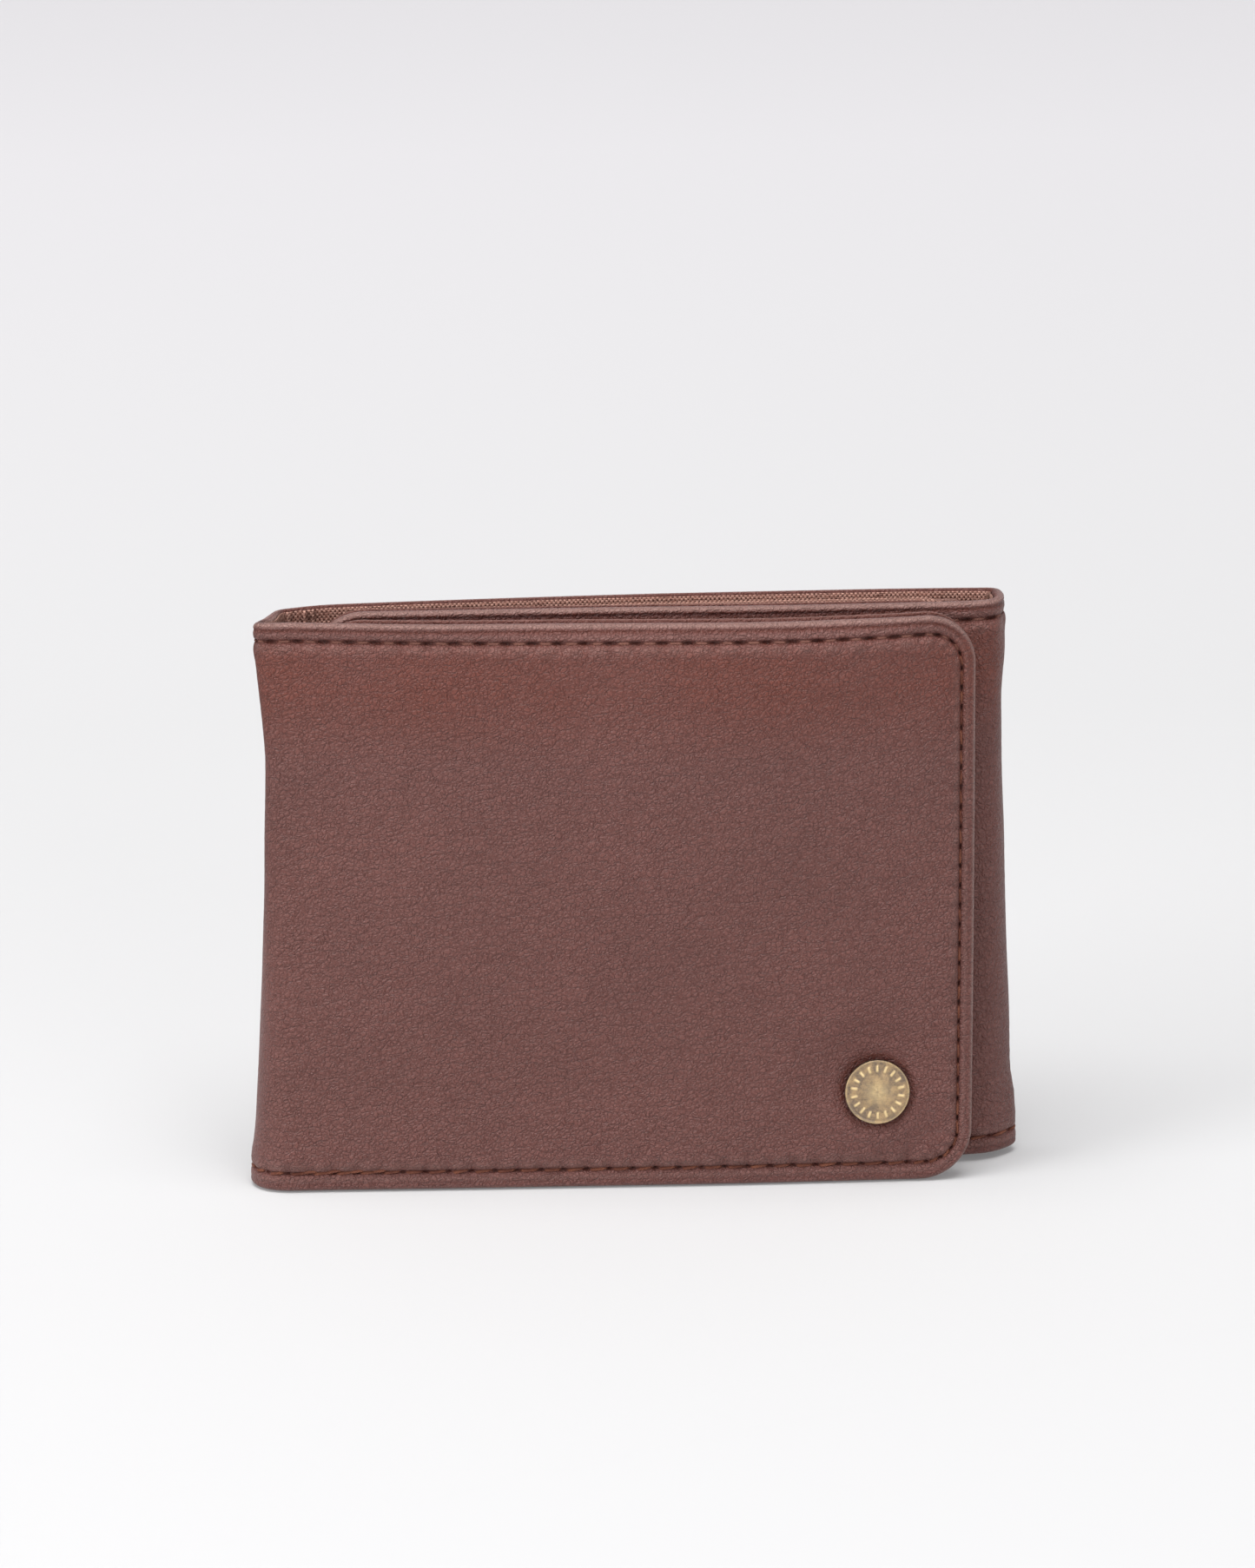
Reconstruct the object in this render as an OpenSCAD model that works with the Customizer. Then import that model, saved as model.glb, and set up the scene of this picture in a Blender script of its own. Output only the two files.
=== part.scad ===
// Trifold wallet, standing closed on its long edge.
// X runs along the closed wallet, Y through its layers with the back panel at +Y, Z is up.
// The back panel is the fixed body. The front flap turns about the left fold and the
// inner flap about the right fold. Both folds are vertical.

/* [Closed size] */
// Overall width of the closed wallet, fold to fold
wallet_w = 116; // [112:1:124]
// Height of the leather panels
wallet_h = 88.4; // [85:0.1:100]
// Outer radius of the left fold, which holds the whole stack
left_fold_r = 7; // [6.5:0.1:9]
// Outer radius of the right fold, which holds the inner flap
right_fold_r = 4.45; // [4.2:0.05:6]
// How far the front flap springs open at rest, in degrees
front_ajar = 3; // [2:0.25:5]

/* [Flaps] */
// Length of the front flap from the left fold to its free edge
front_len = 102.2; // [98:0.1:104]
// Length of the inner flap from the right fold to its free edge
inner_len = 100.0; // [94:0.1:101]
// Corner radius at the free ends of the flaps
corner_r = 8.0; // [5:0.1:10]

/* [Leather and layers] */
// Thickness of the outer leather
leather_t = 1.0; // [0.8:0.1:1.2]
// Thickness of the turned edge, where the leather is doubled
turned_t = 2.0; // [1.6:0.1:2.1]
// Width of the turned edge
turned_w = 2.6; // [2:0.1:3.2]
// Thickness of the stiffening boards
board_t = 0.6; // [0.3:0.1:0.7]
// Thickness of the woven lining
lining_t = 0.3; // [0.2:0.05:0.4]
// Thickness of the inner leather panels
inner_t = 0.7; // [0.5:0.1:0.8]
// Thickness of each card pocket layer
pocket_t = 0.5; // [0.4:0.1:0.6]

/* [Card pockets] */
// Height of the tallest pocket's mouth above the bottom edge
pocket_top = 75; // [70:1:80]
// Drop from one pocket mouth to the next
pocket_step = 11; // [8:1:12]
// Distance of the pocket stack from the panel ends
pocket_inset = 5; // [4.5:0.5:6]
// Radius of the thumb cut in the lowest pockets and the window frame
thumb_r = 8; // [6:0.5:10]
// Width of the border around the identity window
window_border = 9; // [7:0.5:12]
// Thickness of the clear window film
film_t = 0.2; // [0.15:0.05:0.3]

/* [Stitching] */
// Distance from one stitch to the next
stitch_pitch = 3.6; // [3:0.1:4.5]
// Length of one stitch
stitch_l = 2.4; // [1.8:0.1:2.8]
// Width of the thread
stitch_w = 0.5; // [0.4:0.1:0.7]
// Distance of the stitch line from the leather's edge
stitch_inset = 2.9; // [2.5:0.1:3.4]

/* [Rivet] */
// Diameter of the rivet's cap
rivet_d = 9.8; // [8:0.1:12]
// Height of the cap above the leather
rivet_h = 1.0; // [0.8:0.1:1.3]
// Distance of the rivet's centre from the free edge and from the bottom edge
rivet_inset = 14.5; // [12:0.1:18]
// Diameter of the rivet's post
post_d = 2.4; // [2:0.1:3]

/* [Display] */
// Which sub-part is drawn

/* [Hidden] */
$fn = 96;
eps = 0.05;
seam = 0.1;                      // play between a layer and the turned edge round it
groove_t = 0.35;                 // depth of the channel that the stitches lie in
groove_w = stitch_w + 0.4;
sole = 0.8;                      // height of the inner layers above the bottom edge

// Depths of the layers behind the outer face of a panel
board_y = leather_t;
lining_y = board_y + board_t;
bill_y = turned_t + seam;        // the banknote space lies in front of this
backing_y = bill_y + lining_t;
pocket_y = backing_y + inner_t;

// The rivet's cap is the front of the whole model, and its flat runs to this radius
cap_flat_r = rivet_d / 2 - rivet_h * 0.55;
rivet_x = front_len - rivet_inset;
front_reach = (left_fold_r + rivet_h) * cos(front_ajar)
            + (rivet_x + cap_flat_r) * sin(front_ajar);

// The folds' centres. The back panel's outer face is at back_y.
back_y = (front_reach + left_fold_r) / 2;
left_x = left_fold_r - wallet_w / 2;
left_y = back_y - left_fold_r;
right_x = wallet_w / 2 - right_fold_r;
right_y = back_y - right_fold_r;
centre_len = right_x - left_x;

outer_brown = [0.40, 0.25, 0.22];
inner_brown = [0.52, 0.34, 0.25];
pocket_brown = [0.46, 0.29, 0.22];
cloth_brown = [0.68, 0.58, 0.50];
board_grey = [0.62, 0.60, 0.56];
thread_brown = [0.30, 0.12, 0.10];
antique_brass = [0.62, 0.52, 0.36];
film_clear = [0.80, 0.84, 0.86, 0.5];

// Places a panel, drawn with its fold at X = 0 and its layers going to +Y
module on_front() {
  translate([left_x, left_y, 0])
    rotate([0, 0, -front_ajar])
      translate([0, -left_fold_r, 0])
        children();
}

module on_inner() {
  translate([right_x, right_y - right_fold_r, 0])
    mirror([1, 0, 0])
      children();
}

module on_centre() {
  translate([left_x, back_y, 0])
    mirror([0, 1, 0])
      children();
}

// Outline of a panel from x0 to x1 and z0 to z1, rounded at its x1 end
module outline(x0, x1, z0, z1, r) {
  if (r > 0) {
    translate([x0, z0]) square([x1 - r - x0, z1 - z0]);
    translate([x0, z0 + r]) square([x1 - x0, z1 - z0 - 2 * r]);
    translate([x1 - r, z0 + r]) circle(r);
    translate([x1 - r, z1 - r]) circle(r);
  } else {
    translate([x0, z0]) square([x1 - x0, z1 - z0]);
  }
}

// Gives an outline the thickness t, starting at depth y
module layer(y, t) {
  translate([0, y + t, 0])
    rotate([90, 0, 0])
      linear_extrude(t)
        children();
}

// A round hole, or a round thumb cut, through every layer
module drill(x, z, r, y, t) {
  translate([x, y + t, z])
    rotate([90, 0, 0])
      cylinder(h = t, r = r);
}

// Outer leather: a plain sheet with a doubled, turned edge and a channel for the thread
module shell(len, r) {
  inner_r = max(r - turned_w, 0);
  free = r > 0 ? turned_w : -eps;
  difference() {
    layer(0, turned_t) outline(0, len, 0, wallet_h, r);
    layer(leather_t, turned_t)
      outline(-eps, len - free, turned_w, wallet_h - turned_w, inner_r);
    groove(len, r);
  }
}

module groove(len, r) {
  near = stitch_inset - groove_w / 2;
  far = stitch_inset + groove_w / 2;
  difference() {
    layer(-eps, groove_t + eps)
      outline(-eps, len - (r > 0 ? near : -eps), near, wallet_h - near, max(r - near, 0));
    layer(-2 * eps, groove_t + 4 * eps)
      outline(-2 * eps, len - (r > 0 ? far : -2 * eps), far, wallet_h - far, max(r - far, 0));
  }
}

// One stitch lying in the channel, turned by a in the panel's plane
module stitch(x, z, a) {
  translate([x, groove_t - 0.3, z])
    rotate([0, -a, 0])
      translate([-stitch_l / 2, 0, -stitch_w / 2])
        cube([stitch_l, 0.3, stitch_w]);
}

// Stitches along the top and bottom and, on a flap, round its free end
module stitch_row(len, r) {
  run = len - r;
  count = floor(run / stitch_pitch);
  start = (run - (count - 1) * stitch_pitch) / 2;
  for (i = [0 : count - 1])
    for (z = [stitch_inset, wallet_h - stitch_inset])
      stitch(start + i * stitch_pitch, z, 0);
  if (r > 0) {
    bend = r - stitch_inset;
    rise = wallet_h - 2 * r;
    rows = floor(rise / stitch_pitch);
    low = r + (rise - (rows - 1) * stitch_pitch) / 2;
    for (i = [0 : rows - 1])
      stitch(len - stitch_inset, low + i * stitch_pitch, 90);
    for (end = [0, 1])
      stitch(run + bend * sin(45),
             end == 0 ? r - bend * cos(45) : wallet_h - r + bend * cos(45),
             end == 0 ? 45 : -45);
  }
}

// A layer inside the turned edge: a board or the outer lining
module inside_turned_edge(len, r, y, t) {
  lip = turned_w + seam;
  layer(y, t)
    outline(r > 0 ? seam : 0, len - (r > 0 ? lip : 0), lip, wallet_h - lip,
            r > 0 ? r - lip : 0);
}

// A layer behind the turned edge: the inner lining and the inner leather
module behind_turned_edge(x0, x1, r, y, t) {
  layer(y, t) outline(x0, x1, sole, wallet_h - sole, r);
}

// A card pocket: one of three stepped layers, the last with a thumb cut
module pocket(len, index) {
  top = pocket_top - index * pocket_step;
  y = pocket_y + index * pocket_t;
  difference() {
    layer(y, pocket_t) outline(pocket_inset, len - pocket_inset, sole, top, 0);
    if (index == 2)
      drill(len / 2, top, thumb_r, y - eps, pocket_t + 2 * eps);
  }
}

// Wall of a fold: a ring of leather from the back panel round to the flap
module fold_wall(r, t, turn, z0, z1) {
  translate([0, 0, z0])
    linear_extrude(z1 - z0)
      intersection() {
        difference() {
          circle(r);
          circle(r - t);
        }
        polygon([[0, 0], [0, 2 * r], [-2 * r, 2 * r], [-2 * r, -2 * r],
                 [-2 * r * sin(turn), -2 * r * cos(turn)]]);
      }
}

module fold(r, turn) {
  fold_wall(r, leather_t, turn, 0, wallet_h);
  fold_wall(r, turned_t, turn, 0, turned_w);
  fold_wall(r, turned_t, turn, wallet_h - turned_w, wallet_h);
}

module fold_lining(r, turn) {
  lip = turned_w + seam;
  fold_wall(r - leather_t - seam, lining_t, turn, lip, wallet_h - lip);
}

module at_left_fold() {
  translate([left_x, left_y, 0]) children();
}

module at_right_fold() {
  translate([right_x, right_y, 0]) mirror([1, 0, 0]) children();
}

// Back panel, the fixed body
module centre_shell() {
  color(outer_brown) on_centre() shell(centre_len, 0);
}

module centre_board() {
  color(board_grey) on_centre() inside_turned_edge(centre_len, 0, board_y, board_t);
}

module centre_lining_outer() {
  color(cloth_brown) on_centre() inside_turned_edge(centre_len, 0, lining_y, lining_t);
}

module centre_lining_inner() {
  color(cloth_brown) on_centre()
    behind_turned_edge(4, centre_len - 4, 0, bill_y, lining_t);
}

module centre_backing() {
  color(inner_brown) on_centre()
    behind_turned_edge(4, centre_len - 4, 0, backing_y, inner_t);
}

module centre_pocket(index) {
  color(pocket_brown) on_centre() pocket(centre_len, index);
}

module centre_pocket_upper() {
  centre_pocket(0);
}

module centre_pocket_middle() {
  centre_pocket(1);
}

module centre_pocket_lower() {
  centre_pocket(2);
}

module centre_stitches() {
  color(thread_brown) on_centre() stitch_row(centre_len, 0);
}

// The two folds, whose leather bends as the flaps turn
module left_fold() {
  color(outer_brown) at_left_fold() fold(left_fold_r, front_ajar);
}

module left_fold_lining() {
  color(cloth_brown) at_left_fold() fold_lining(left_fold_r, front_ajar);
}

module right_fold() {
  color(outer_brown) at_right_fold() fold(right_fold_r, 0);
}

module right_fold_lining() {
  color(cloth_brown) at_right_fold() fold_lining(right_fold_r, 0);
}

// Inner flap
module inner_shell() {
  color(outer_brown) on_inner() shell(inner_len, corner_r);
}

module inner_board() {
  color(board_grey) on_inner() inside_turned_edge(inner_len, corner_r, board_y, board_t);
}

module inner_lining() {
  color(cloth_brown) on_inner() inside_turned_edge(inner_len, corner_r, lining_y, lining_t);
}

module inner_backing() {
  color(inner_brown) on_inner()
    behind_turned_edge(4, inner_len - sole, corner_r - sole, turned_t, inner_t);
}

module inner_window_film() {
  side = pocket_inset + window_border - 3;
  color(film_clear) on_inner()
    layer(turned_t + inner_t, film_t)
      outline(side, inner_len - side, sole + window_border - 3,
              pocket_top - window_border + 3, 0);
}

module inner_window_frame() {
  side = pocket_inset + window_border;
  y = turned_t + inner_t;
  lip = 3 + seam;
  color(pocket_brown) on_inner()
    difference() {
      layer(y, film_t + pocket_t)
        outline(pocket_inset, inner_len - pocket_inset, sole, pocket_top, 0);
      layer(y - eps, film_t + pocket_t + 2 * eps)
        outline(side, inner_len - side, sole + window_border, pocket_top - window_border, 3);
      layer(y - eps, film_t + eps)
        outline(side - lip, inner_len - side + lip, sole + window_border - lip,
                pocket_top - window_border + lip, 0);
    }
}

module inner_stitches() {
  color(thread_brown) on_inner() stitch_row(inner_len, corner_r);
}

// Front flap
module front_shell() {
  color(outer_brown) on_front()
    difference() {
      shell(front_len, corner_r);
      drill(rivet_x, rivet_inset, post_d / 2 + seam, -eps, turned_t);
    }
}

module front_board() {
  color(board_grey) on_front()
    difference() {
      inside_turned_edge(front_len, corner_r, board_y, board_t);
      drill(rivet_x, rivet_inset, post_d * 1.5 + seam, 0, turned_t);
    }
}

module front_lining_outer() {
  color(cloth_brown) on_front()
    inside_turned_edge(front_len, corner_r, lining_y, lining_t);
}

module front_lining_inner() {
  color(cloth_brown) on_front()
    behind_turned_edge(4, front_len - sole, corner_r - sole, bill_y, lining_t);
}

module front_backing() {
  color(inner_brown) on_front()
    behind_turned_edge(4, front_len - sole, corner_r - sole, backing_y, inner_t);
}

module front_pocket(index) {
  color(pocket_brown) on_front()
    pocket(front_len, index);
}

module front_pocket_upper() {
  front_pocket(0);
}

module front_pocket_middle() {
  front_pocket(1);
}

module front_pocket_lower() {
  front_pocket(2);
}

module front_stitches() {
  color(thread_brown) on_front() stitch_row(front_len, corner_r);
}

// Decorative rivet: a cap outside, a post through the leather, a washer behind it
module rivet_axis() {
  on_front()
    translate([rivet_x, 0, rivet_inset])
      rotate([90, 0, 0])
        children();
}

module rivet_cap() {
  rim_w = 0.6;
  color(antique_brass) rivet_axis()
    difference() {
      union() {
        cylinder(h = rivet_h * 0.55, r = rivet_d / 2);
        translate([0, 0, rivet_h * 0.55])
          cylinder(h = rivet_h * 0.45, r1 = rivet_d / 2, r2 = cap_flat_r);
      }
      translate([0, 0, rivet_h - 0.15])
        cylinder(h = 1, r = cap_flat_r - rim_w);
    }
}

module rivet_post() {
  color(antique_brass) rivet_axis()
    translate([0, 0, -leather_t])
      cylinder(h = leather_t, r = post_d / 2);
}

module rivet_washer() {
  color(antique_brass) rivet_axis()
    translate([0, 0, -leather_t - 0.5])
      cylinder(h = 0.5, r = post_d * 1.5);
}

centre_shell();
centre_board();
centre_lining_outer();
centre_lining_inner();
centre_backing();
centre_pocket_upper();
centre_pocket_middle();
centre_pocket_lower();
centre_stitches();
left_fold();
left_fold_lining();
right_fold();
right_fold_lining();
inner_shell();
inner_board();
inner_lining();
inner_backing();
inner_window_film();
inner_window_frame();
inner_stitches();
front_shell();
front_board();
front_lining_outer();
front_lining_inner();
front_backing();
front_pocket_upper();
front_pocket_middle();
front_pocket_lower();
front_stitches();
rivet_cap();
rivet_post();
rivet_washer();
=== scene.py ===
import math

import bmesh
import bpy
import numpy as np
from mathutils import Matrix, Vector
from mathutils.geometry import delaunay_2d_cdt


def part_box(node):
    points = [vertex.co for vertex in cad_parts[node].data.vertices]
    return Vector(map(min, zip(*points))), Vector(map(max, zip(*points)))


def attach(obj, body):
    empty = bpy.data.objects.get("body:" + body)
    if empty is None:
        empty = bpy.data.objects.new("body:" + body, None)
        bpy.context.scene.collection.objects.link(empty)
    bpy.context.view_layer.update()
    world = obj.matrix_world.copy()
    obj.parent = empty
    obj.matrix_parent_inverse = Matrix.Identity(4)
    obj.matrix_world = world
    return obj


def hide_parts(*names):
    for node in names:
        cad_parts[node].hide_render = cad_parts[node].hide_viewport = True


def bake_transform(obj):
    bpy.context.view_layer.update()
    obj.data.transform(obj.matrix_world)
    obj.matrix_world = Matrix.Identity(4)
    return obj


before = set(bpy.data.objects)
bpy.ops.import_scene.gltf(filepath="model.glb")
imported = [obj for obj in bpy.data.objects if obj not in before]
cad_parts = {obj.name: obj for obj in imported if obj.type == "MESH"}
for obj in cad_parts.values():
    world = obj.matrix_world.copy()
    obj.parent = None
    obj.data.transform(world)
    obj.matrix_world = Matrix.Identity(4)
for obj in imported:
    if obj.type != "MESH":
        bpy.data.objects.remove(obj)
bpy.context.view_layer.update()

# The wallet's leather is one long strip, wrapped round the stack in three panels.
# Each piece is made flat, at (s, z, h) in millimetres: s runs along the strip from the
# front flap's free edge, z is up, and h is the depth below the outer face. place() then
# bends it round the folds. The folds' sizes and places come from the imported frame.

MM = 0.001


def box_mm(node):
    """A CAD node's lowest and highest corners, in millimetres."""
    low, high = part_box(node)
    return np.array(low) / MM, np.array(high) / MM


# ---- Sizes from the frame, in millimetres ----
PANEL_LOW, PANEL_HIGH = box_mm("centre_shell")
HEIGHT = PANEL_HIGH[2]
LEFT_X, RIGHT_X, BACK_Y = PANEL_LOW[0], PANEL_HIGH[0], PANEL_HIGH[1]
LEFT_R = LEFT_X - box_mm("left_fold")[0][0]
RIGHT_R = box_mm("right_fold")[1][0] - RIGHT_X
LEFT_Y, RIGHT_Y = BACK_Y - LEFT_R, BACK_Y - RIGHT_R
INNER_LEN = RIGHT_X - box_mm("inner_shell")[0][0]
# The front flap's angle at rest, and the thickness of its turned edge
AJAR = math.radians(3)
TURNED_T = 2.0
FRONT_LEN = (box_mm("front_shell")[1][0] - LEFT_X
             + (LEFT_R - TURNED_T) * math.sin(AJAR)) / math.cos(AJAR)
CORNER_R = 8.0
# The inner leather stays this far inside the rim.
RECESS = HEIGHT - box_mm("centre_backing")[1][2]
POCKET_TOPS = [box_mm(f"centre_pocket_{level}")[1][2] for level in ("upper", "middle", "lower")]

# ---- Places along the strip ----
S_LEFT = FRONT_LEN
S_BACK = S_LEFT + LEFT_R * (math.pi - AJAR)
S_RIGHT = S_BACK + RIGHT_X - LEFT_X
S_INNER = S_RIGHT + RIGHT_R * math.pi
S_END = S_INNER + INNER_LEN
S_SPLIT = (S_BACK + S_RIGHT) / 2

# ---- The stitch line, and the rivet's place on the strip ----
STITCH_INSET = 2.7
CAP_MIDDLE = 0.5
RIVET_LOW, RIVET_HIGH = box_mm("rivet_cap")
RIVET_R = (RIVET_HIGH[2] - RIVET_LOW[2]) / 2
RIVET_Z = (RIVET_HIGH[2] + RIVET_LOW[2]) / 2
RIVET_S = FRONT_LEN - ((RIVET_LOW[0] + RIVET_HIGH[0]) / 2 - LEFT_X
                       + (LEFT_R + CAP_MIDDLE) * math.sin(AJAR)) / math.cos(AJAR)


def smooth(x, a, b):
    """Rises from 0 at a to 1 at b, with no corners."""
    t = np.clip((x - a) / (b - a), 0, 1)
    return t * t * (3 - 2 * t)


def fall(x, a, b):
    """Falls from 1 at a to 0 at b, with no corners."""
    return 1 - smooth(x, a, b)


def hump(x, at, width, power=2):
    """1 at one place, and near 0 two widths away. A higher power has a flatter top."""
    return np.exp(-(((x - at) / width) ** power))


def from_rivet(s, z):
    return np.hypot(s - RIVET_S, z - RIVET_Z)


def ripple(s, z, scale, seed):
    """Gentle uneven relief between about -1 and 1, from a few sine waves."""
    rng = np.random.default_rng(seed)
    total = np.zeros_like(s)
    for k in range(7):
        angle, phase = rng.uniform(0, math.pi), rng.uniform(0, math.tau)
        wave = math.tau / (scale * rng.uniform(0.7, 1.5))
        total += np.sin(wave * (s * math.cos(angle) + z * math.sin(angle)) + phase)
    return total / 3.5


# ---- The rest shape: how the soft wallet leaves the straight CAD walls ----
# The middle and the half width of the front flap's belly, from its fold
BELLY_AT, BELLY_REACH = 66, 45


def front_bow(d, z):
    """The front flap bellies forward in its middle at the top, and its foot tucks in towards
    the free edge. d runs from the fold."""
    u = (d - BELLY_AT) / BELLY_REACH
    bow = -1.9 + np.where(u < 0, 1.66 * u * u, 9.5 * np.abs(u) ** 2.2)
    foot = 1.7 * np.clip(d / FRONT_LEN, 0, 1) * fall(z, 0, 0.8 * HEIGHT)
    return bow * (0.12 + 0.88 * smooth(z, 0, HEIGHT)) + foot


def back_bow(x, z):
    """The back panel's ends pinch forward."""
    return -1.6 * ((x - 4) / 52) ** 2 * (0.35 + 0.65 * smooth(z, 0, HEIGHT))


def inner_bow(d, z):
    """The inner flap lies forward at its fold and back at its free edge."""
    return (-1.2 + 1.9 * smooth(d, 20, 98)) * (0.3 + 0.7 * smooth(z, 0, HEIGHT))


def left_waist(z):
    """How far the left fold is drawn in, most of all at three quarters of the height."""
    drawn = 0.5 + 0.4 * smooth(z, 3, 12) + 3.7 * np.clip(z / 68, 0, 1)
    return drawn - 2.1 * smooth(z, 66, HEIGHT)


def right_waist(z):
    """How far the right fold is drawn in. It flares at the foot, where the edge is doubled."""
    drawn = -0.75 + 0.041 * np.minimum(z, 72) - 0.45 * smooth(z, 72, 84)
    return drawn - 0.35 * hump(z, 79, 4) - 0.5 * fall(z, 7.5, 13.5)


def soften(s, z):
    """The plan displacement (dx, dy) of the whole stack at that place of the strip."""
    open_left = (s - S_LEFT) / (S_BACK - S_LEFT)
    open_right = (s - S_RIGHT) / (S_INNER - S_RIGHT)
    u_left, u_right = np.clip(open_left, 0, 1), np.clip(open_right, 0, 1)
    past_left, past_right = smooth(u_left, 0, 1), smooth(u_right, 0, 1)
    front = front_bow(np.clip(S_LEFT - s, 0, FRONT_LEN), z)
    back = back_bow(np.clip(LEFT_X + s - S_BACK, LEFT_X, RIGHT_X), z)
    inner = inner_bow(np.clip(s - S_INNER, 0, INNER_LEN), z)
    dy = front * (1 - past_left) + back * past_left * (1 - past_right) + inner * past_right
    dx = left_waist(z) * np.sin(math.pi * u_left) ** 2
    dx -= right_waist(z) * np.sin(math.pi * u_right) ** 2
    # The left fold is pinched towards the front, most of all at its mouth.
    mouth = 0.25 + 0.75 * smooth(z, 20, HEIGHT)
    dy -= 2.7 * mouth * hump(open_left, 0.58, 0.32)
    dx -= 1.1 * mouth * np.sin(math.tau * u_left)
    dy -= 0.8 * mouth * hump(s - S_BACK, -0.5, 4.2)
    # The right fold's front half lies further back, so that the loop is round from above.
    dy += 2.1 * (0.6 + 0.4 * smooth(z, 0, HEIGHT)) * hump(open_right, 0.66, 0.33)
    dx -= 1.2 * smooth(s - S_INNER, 60, INNER_LEN)
    # The flaps' rims lean back, and the rivet pulls the leather round it askew.
    on_front = smooth(S_LEFT - s, 12, 45) * fall(S_LEFT - s, 80, 98)
    dy += 0.9 * on_front * smooth(z, HEIGHT - 3.4, HEIGHT)
    dy += 0.5 * smooth(s - S_INNER, 25, 60) * smooth(z, HEIGHT - 9, HEIGHT - 1)
    dy += 0.16 * (z - RIVET_Z) * hump(from_rivet(s, z), 0, 9, power=4)
    calm = 1 - np.maximum(np.sin(math.pi * u_left), np.sin(math.pi * u_right))
    dy += 0.14 * calm * ripple(s, z, 46, 5)
    return dx, dy


def foot_lift(s, z):
    """How far the right fold's foot stands off the floor."""
    near = smooth(s, S_RIGHT - 8, S_RIGHT + 3) * fall(s, S_INNER + 6, S_INNER + 26)
    return 0.8 * near * fall(z, 0, 26)


def place(flat):
    """Bends flat points (s, z, h) round the folds, to points in the row frame, in metres."""
    s, z, h = np.asarray(flat, float).T
    d = S_LEFT - s
    front = (
        LEFT_X + d * math.cos(AJAR) + (h - LEFT_R) * math.sin(AJAR),
        LEFT_Y - d * math.sin(AJAR) + (h - LEFT_R) * math.cos(AJAR),
    )
    turn = 1.5 * math.pi - AJAR - (s - S_LEFT) / LEFT_R
    left = LEFT_X + (LEFT_R - h) * np.cos(turn), LEFT_Y + (LEFT_R - h) * np.sin(turn)
    back = LEFT_X + s - S_BACK, BACK_Y - h
    turn = math.pi / 2 - (s - S_RIGHT) / RIGHT_R
    right = RIGHT_X + (RIGHT_R - h) * np.cos(turn), RIGHT_Y + (RIGHT_R - h) * np.sin(turn)
    inner = RIGHT_X - (s - S_INNER), RIGHT_Y - RIGHT_R + h
    zones = [s < S_LEFT, s < S_BACK, s < S_RIGHT, s < S_INNER]
    dx, dy = soften(s, z)
    x = np.select(zones, [front[0], left[0], back[0], right[0]], inner[0]) + dx
    y = np.select(zones, [front[1], left[1], back[1], right[1]], inner[1]) + dy
    return np.column_stack([x, y, z + foot_lift(s, z)]) * MM


# ---- Meshes ----
# More than any squared distance on the wallet
FAR_OFF = 1e9
# The seam behind the rim is coloured between these insets.
SEAM_NEAR, SEAM_FAR = 0.05, 1.2
# Faces within this distance of a cut are split by it.
CUT_REACH = 12


def link(obj):
    bpy.context.scene.collection.objects.link(obj)
    return obj


def make_mesh(name, points, faces, material, flat=None, tone=None):
    """A smooth-shaded object, with the flat place and the tone kept for its material."""
    mesh = bpy.data.meshes.new(name)
    mesh.from_pydata([tuple(p) for p in points], [], [tuple(f) for f in faces])
    for key, kind, field, values in (("flat_mm", "FLOAT_VECTOR", "vector", flat),
                                     ("tone", "FLOAT", "value", tone)):
        if values is not None:
            attribute = mesh.attributes.new(key, kind, "POINT")
            attribute.data.foreach_set(field, np.asarray(values, np.float32).ravel())
    mesh.materials.append(material)
    mesh.validate()
    mesh.shade_smooth()
    return link(bpy.data.objects.new(name, mesh))


def band(a, b, count):
    """Quads between two rings of count points, whose first points are a and b."""
    order = np.arange(count)
    after = np.roll(order, -1)
    return np.column_stack([a + order, a + after, b + after, b + order]).tolist()


def face_outward(obj):
    """Turns all faces of a closed mesh outward."""
    bm = bmesh.new()
    bm.from_mesh(obj.data)
    bmesh.ops.recalc_face_normals(bm, faces=bm.faces)
    bm.to_mesh(obj.data)
    bm.free()
    return obj


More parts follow.
